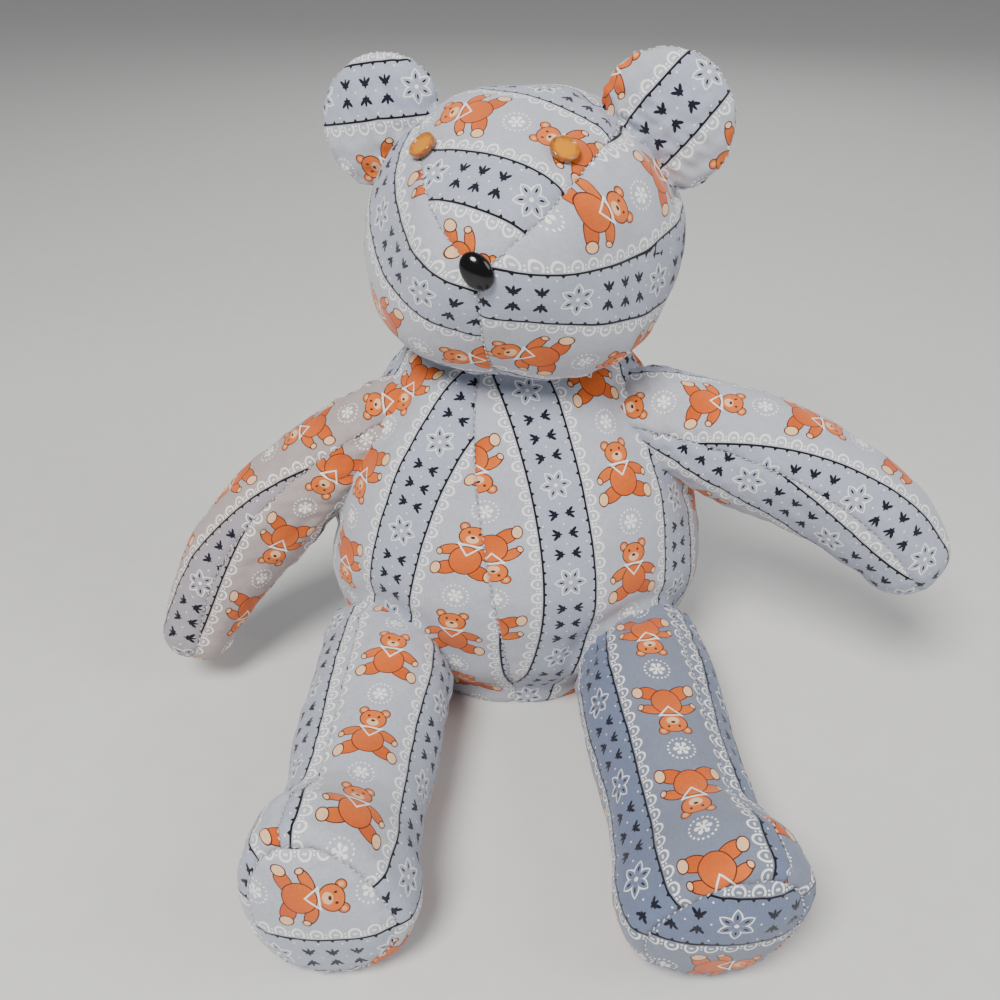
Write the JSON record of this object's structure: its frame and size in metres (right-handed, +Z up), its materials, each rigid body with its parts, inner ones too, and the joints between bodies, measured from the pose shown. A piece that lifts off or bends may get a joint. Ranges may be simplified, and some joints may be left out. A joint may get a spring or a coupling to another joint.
{
  "type": "teddy bear",
  "caption": "Seated stuffed teddy bear sewn from printed cotton panels, with shiny button eyes, a black oval nose, arms held out and legs forward; a keepsake or toy that sits by itself.",
  "frame": {"origin": "middle of the bounding box at floor level, under the bear's thighs and seat", "axes": "+Z up, the bear faces -Y, +X on the bear's own left along its arm span"},
  "size_m": [0.3954, 0.3084, 0.3172],
  "materials": {
    "grey_cotton": "plain-woven heathered blue-grey cotton with a small folk print",
    "warm_cotton": "the same printed cotton, from a warmer and slightly browner piece of cloth",
    "blue_cotton": "the same printed cotton, from a bluer piece of cloth",
    "stuffing": "white loose polyester fibre",
    "amber_button": "glossy amber plastic, dished, with a raised rim",
    "sewing_thread": "white doubled sewing thread",
    "black_nose": "polished black plastic",
    "white_washer": "plain white plastic"
  },
  "bodies": {
    "root": {"body_front_left": "grey_cotton", "body_front_right": "grey_cotton", "body_back_left": "grey_cotton", "body_back_right": "grey_cotton", "head_gusset": "grey_cotton", "head_side_left": "grey_cotton", "head_side_right": "grey_cotton", "body_stuffing": "stuffing", "head_stuffing": "stuffing", "nose": "black_nose", "nose_washer": "white_washer", "eye_left": "amber_button", "eye_thread_left": "sewing_thread", "ear_front_left": "grey_cotton", "ear_back_left": "grey_cotton", "ear_wadding_left": "stuffing", "arm_upper_left": "grey_cotton", "arm_under_left": "grey_cotton", "arm_stuffing_left": "stuffing", "leg_outer_left": "blue_cotton", "leg_inner_left": "blue_cotton", "leg_sole_left": "blue_cotton", "leg_stuffing_left": "stuffing", "eye_right": "amber_button", "eye_thread_right": "sewing_thread", "ear_front_right": "grey_cotton", "ear_back_right": "grey_cotton", "ear_wadding_right": "stuffing", "arm_upper_right": "warm_cotton", "arm_under_right": "warm_cotton", "arm_stuffing_right": "stuffing", "leg_outer_right": "grey_cotton", "leg_inner_right": "grey_cotton", "leg_sole_right": "grey_cotton", "leg_stuffing_right": "stuffing"}
  },
  "joints": []
}
